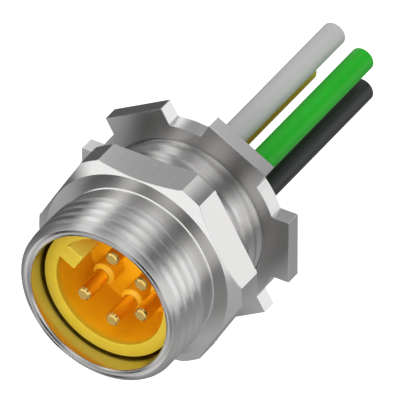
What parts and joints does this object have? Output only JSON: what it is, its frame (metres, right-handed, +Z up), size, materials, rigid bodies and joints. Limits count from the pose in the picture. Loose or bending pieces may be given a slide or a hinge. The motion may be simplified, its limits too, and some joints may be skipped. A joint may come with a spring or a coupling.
{
  "type": "circular panel receptacle",
  "caption": "Panel-mount circular power receptacle with male pins: threaded metal shell, hexagonal flange, moulded insert, lugged lock nut and free lead wires.",
  "frame": {"origin": "on the connector's axis, in the plane of the flange's rear face, where the panel seats", "axes": "+Y along the connector's axis towards the leads, -Y towards the mating face; +Z up, through the white lead's pin; X across"},
  "size_m": [0.0286, 0.0546, 0.0292],
  "materials": {
    "nickel_plated_brass": "turned, nickel plated",
    "nickel_plated_nut": "stamped and tapped, nickel plated",
    "yellow_moulding": "moulded, satin",
    "gold_plated_brass": "turned, gold plated",
    "tinned_copper": "stranded, tinned",
    "casting_resin": "cast",
    "nitrile_rubber": "moulded",
    "white_insulation": "extruded",
    "yellow_insulation": "extruded",
    "green_insulation": "extruded",
    "black_insulation": "extruded",
    "red_insulation": "extruded"
  },
  "bodies": {
    "receptacle": {"shell": "nickel_plated_brass", "flange_seal": "nitrile_rubber", "contact_insert": "yellow_moulding", "cast_filling": "casting_resin", "pin_1": "gold_plated_brass", "pin_2": "gold_plated_brass", "pin_3": "gold_plated_brass", "pin_4": "gold_plated_brass", "pin_5": "gold_plated_brass", "conductor_1": "tinned_copper", "conductor_2": "tinned_copper", "conductor_3": "tinned_copper", "conductor_4": "tinned_copper", "conductor_5": "tinned_copper", "lead_yellow": "yellow_insulation", "lead_red": "red_insulation", "lead_black": "black_insulation", "lead_green": "green_insulation", "lead_white": "white_insulation"},
    "lock_nut": {"lock_nut": "nickel_plated_nut"}
  },
  "joints": [
    {"name": "lock_nut_travel", "type": "slide", "parent": "receptacle", "child": "lock_nut", "axis": [0, 1, 0], "range_m": [-0.00544, 0.00181]}
  ]
}
